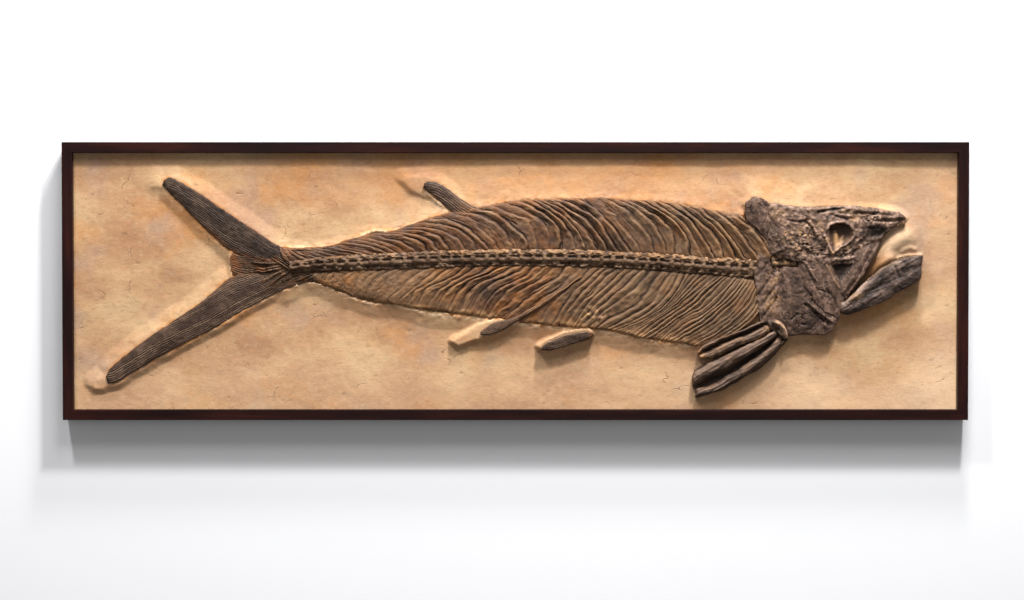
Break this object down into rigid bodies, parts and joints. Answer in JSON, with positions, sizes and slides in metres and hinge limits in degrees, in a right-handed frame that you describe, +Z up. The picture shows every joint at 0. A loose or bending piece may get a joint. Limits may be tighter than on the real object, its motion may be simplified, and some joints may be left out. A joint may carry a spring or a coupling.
{
  "type": "framed fossil fish slab",
  "caption": "Large predatory fossil fish in high relief on a long slab of pale chalk matrix, in a plain dark wooden frame that hangs flat against a wall.",
  "frame": {"origin": "centre of the flat back that goes against the wall", "axes": "+X along the panel towards the fish's head, +Z up, +Y out of the back into the wall, so the fish faces -Y"},
  "size_m": [4.5, 0.156, 1.38],
  "materials": {
    "frame_wood": "satin",
    "board": "matt",
    "matrix": "matt",
    "rib_bed": "matt",
    "bone": "satin",
    "fin_bone": "satin"
  },
  "bodies": {
    "root": {"frame_top_rail": "frame_wood", "frame_bottom_rail": "frame_wood", "frame_left_stile": "frame_wood", "frame_right_stile": "frame_wood", "back_board": "board", "matrix_slab": "matrix", "upper_flank": "rib_bed", "lower_flank": "rib_bed", "backbone": "bone", "shoulder_girdle": "bone", "nape_plate": "bone", "skull": "bone", "gill_cover": "bone", "cheek_plate": "bone", "upper_jaw": "bone", "lower_jaw": "bone", "pectoral_ray_1": "fin_bone", "pectoral_ray_2": "fin_bone", "pectoral_ray_3": "fin_bone", "pectoral_ray_4": "fin_bone", "pectoral_base": "fin_bone", "pelvic_fin": "fin_bone", "anal_fin": "fin_bone", "dorsal_fin": "fin_bone", "tail_upper_lobe": "fin_bone", "tail_lower_lobe": "fin_bone", "tail_fan": "fin_bone"}
  },
  "joints": []
}
